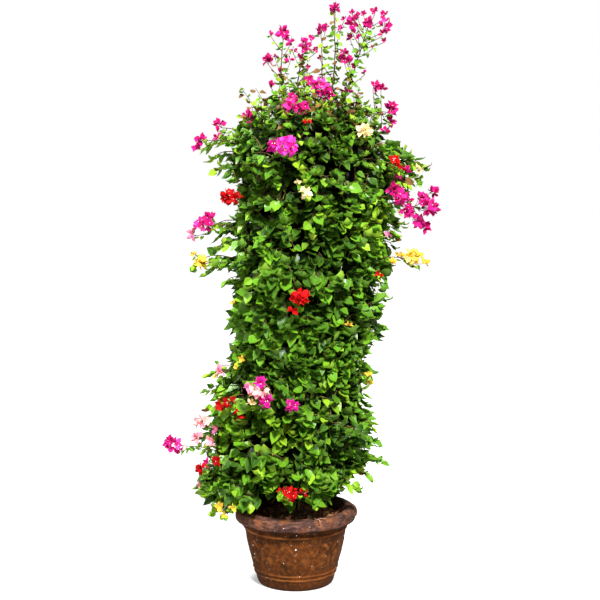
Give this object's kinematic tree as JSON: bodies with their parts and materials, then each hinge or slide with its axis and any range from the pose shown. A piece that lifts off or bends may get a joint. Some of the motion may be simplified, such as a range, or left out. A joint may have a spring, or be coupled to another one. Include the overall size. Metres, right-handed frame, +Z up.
{
  "type": "potted bougainvillea",
  "caption": "Bougainvillea trained up its canes as a tall, loose leafy column, with papery blooms and long top sprays, in soil in a turned clay pot with a rolled collar",
  "frame": {"origin": "the middle of the pot's underside, on the ground", "axes": "+Z up along the plant, -Y towards the front that the picture shows, +X to the viewer's right"},
  "size_m": [1.0767, 0.782, 2.2853],
  "materials": {
    "clay": "worn unglazed clay with a darker collar",
    "soil": "rough, dark and crumbly",
    "bark": "rough bark",
    "leaf": "satin leaf",
    "magenta": "thin papery bracts",
    "red": "thin papery bracts",
    "cream": "thin papery bracts",
    "gold": "thin papery bracts",
    "pink": "thin papery bracts"
  },
  "bodies": {
    "root": {"clay_pot": "clay", "soil": "soil", "woody_trunk": "bark", "leafy_stem_01": "leaf", "leafy_stem_02": "leaf", "leafy_stem_03": "leaf", "leafy_stem_04": "leaf", "leafy_stem_05": "leaf", "leafy_stem_06": "leaf", "leafy_stem_07": "leaf", "leafy_stem_08": "leaf", "leafy_stem_09": "leaf", "leafy_stem_10": "leaf", "leafy_stem_11": "leaf", "leafy_stem_12": "leaf", "spray_1": "leaf", "spray_2": "leaf", "spray_3": "leaf", "spray_4": "leaf", "spray_5": "leaf", "bloom_spray_1_tip": "magenta", "bloom_spray_1_side": "magenta", "bloom_spray_2_tip": "magenta", "bloom_spray_3_tip": "magenta", "bloom_spray_4_tip": "magenta", "bloom_spray_4_left": "magenta", "bloom_spray_4_right": "magenta", "bloom_spray_4_low": "magenta", "bloom_spray_5_tip": "magenta", "bloom_top_middle": "magenta", "bloom_top_front": "magenta", "bloom_top_right": "magenta", "bloom_top_left": "magenta", "bloom_upper_left": "magenta", "bloom_upper_left_high": "magenta", "bloom_crown_front": "magenta", "bloom_crown_cream": "cream", "bloom_left_red": "red", "bloom_middle_cream": "cream", "bloom_right_red": "red", "bloom_right_cream": "cream", "bloom_right_inner": "magenta", "bloom_right_outer": "magenta", "bloom_left_magenta": "magenta", "bloom_left_yellow": "gold", "bloom_right_orange": "gold", "bloom_front_red": "red", "bloom_low_pink": "pink", "bloom_low_red": "red", "bloom_low_magenta": "magenta", "bloom_left_pink": "pink", "bloom_far_left": "magenta", "bloom_left_low_red": "red", "bloom_base_red": "red", "bloom_base_yellow": "gold", "bloom_back_high": "magenta", "bloom_back_red": "red", "bloom_back_gold": "gold", "bloom_back_pink": "pink", "bloom_back_low": "magenta"}
  },
  "joints": []
}
